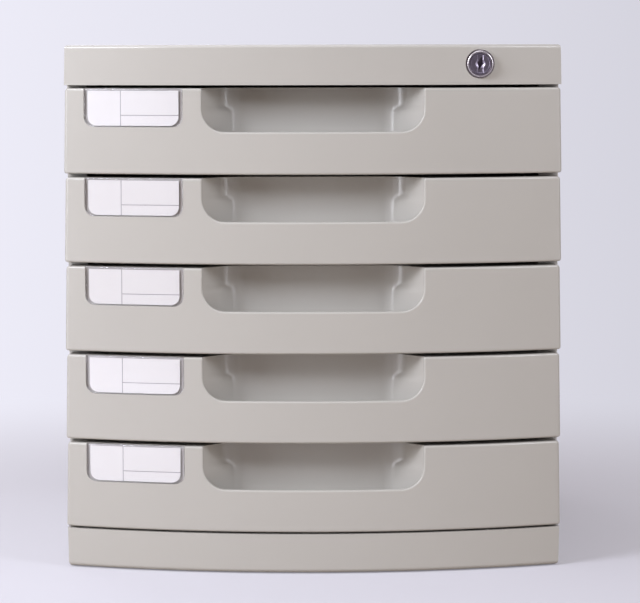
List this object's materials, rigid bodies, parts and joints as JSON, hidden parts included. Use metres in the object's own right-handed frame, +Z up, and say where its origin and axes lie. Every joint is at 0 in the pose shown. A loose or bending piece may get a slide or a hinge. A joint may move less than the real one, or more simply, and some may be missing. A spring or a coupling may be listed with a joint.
{
  "type": "desktop file drawer",
  "caption": "Desktop file cabinet with stacked pull-out drawers, bowed fronts with finger recesses and label holders, and a lock in its top cover.",
  "frame": {"origin": "on the standing surface, under the middle of the cabinet's outline seen from above", "axes": "+Z up, -Y towards the drawer fronts, +X to the right seen from the front"},
  "size_m": [0.3008, 0.35, 0.3172],
  "materials": {
    "putty_abs": "satin moulded, fine spark texture",
    "tray_abs": "satin moulded",
    "clear_styrene": "clear moulded",
    "label_card": "matt, printed lines",
    "nickel_plate": "polished nickel plate",
    "zinc_steel": "zinc plated",
    "foot_rubber": "matt"
  },
  "bodies": {
    "cabinet": {"base_plinth": "putty_abs", "rubber_feet": "foot_rubber", "left_side_panel": "putty_abs", "right_side_panel": "putty_abs", "back_panel": "putty_abs", "top_cover": "putty_abs", "back_screws": "zinc_steel", "plinth_screws": "zinc_steel", "cover_screws": "zinc_steel", "lock_housing": "nickel_plate", "lock_nut": "zinc_steel"},
    "lock_core": {"lock_plug": "nickel_plate", "lock_cam": "zinc_steel", "cam_screw": "zinc_steel"},
    "lock_bar": {"locking_bar": "zinc_steel", "bar_hooks": "zinc_steel"},
    "drawer_1": {"drawer_1_tray": "tray_abs", "drawer_1_front": "putty_abs", "drawer_1_label_cover": "clear_styrene", "drawer_1_label_card": "label_card", "drawer_1_catch": "zinc_steel"},
    "drawer_2": {"drawer_2_tray": "tray_abs", "drawer_2_front": "putty_abs", "drawer_2_label_cover": "clear_styrene", "drawer_2_label_card": "label_card", "drawer_2_catch": "zinc_steel"},
    "drawer_3": {"drawer_3_tray": "tray_abs", "drawer_3_front": "putty_abs", "drawer_3_label_cover": "clear_styrene", "drawer_3_label_card": "label_card", "drawer_3_catch": "zinc_steel"},
    "drawer_4": {"drawer_4_tray": "tray_abs", "drawer_4_front": "putty_abs", "drawer_4_label_cover": "clear_styrene", "drawer_4_label_card": "label_card", "drawer_4_catch": "zinc_steel"},
    "drawer_5": {"drawer_5_tray": "tray_abs", "drawer_5_front": "putty_abs", "drawer_5_label_cover": "clear_styrene", "drawer_5_label_card": "label_card", "drawer_5_catch": "zinc_steel"}
  },
  "joints": [
    {"name": "drawer_1_slide", "type": "slide", "parent": "cabinet", "child": "drawer_1", "axis": [0, -1, 0], "range_m": [0, 0.25]},
    {"name": "drawer_2_slide", "type": "slide", "parent": "cabinet", "child": "drawer_2", "axis": [0, -1, 0], "range_m": [0, 0.25]},
    {"name": "drawer_3_slide", "type": "slide", "parent": "cabinet", "child": "drawer_3", "axis": [0, -1, 0], "range_m": [0, 0.25]},
    {"name": "drawer_4_slide", "type": "slide", "parent": "cabinet", "child": "drawer_4", "axis": [0, -1, 0], "range_m": [0, 0.25]},
    {"name": "drawer_5_slide", "type": "slide", "parent": "cabinet", "child": "drawer_5", "axis": [0, -1, 0], "range_m": [0, 0.25]},
    {"name": "lock_turn", "type": "hinge", "parent": "cabinet", "child": "lock_core", "pos_m": [0.1, -0.16238, 0.3056], "axis": [0, -1, 0], "range_deg": [0, 90]},
    {"name": "bar_lift", "type": "slide", "parent": "cabinet", "child": "lock_bar", "axis": [0, 0, 1], "range_m": [0, 0.0092]}
  ],
  "couplings": [
    {"joint": "bar_lift", "follows": "lock_turn", "m_per_rad": 0.00585}
  ]
}
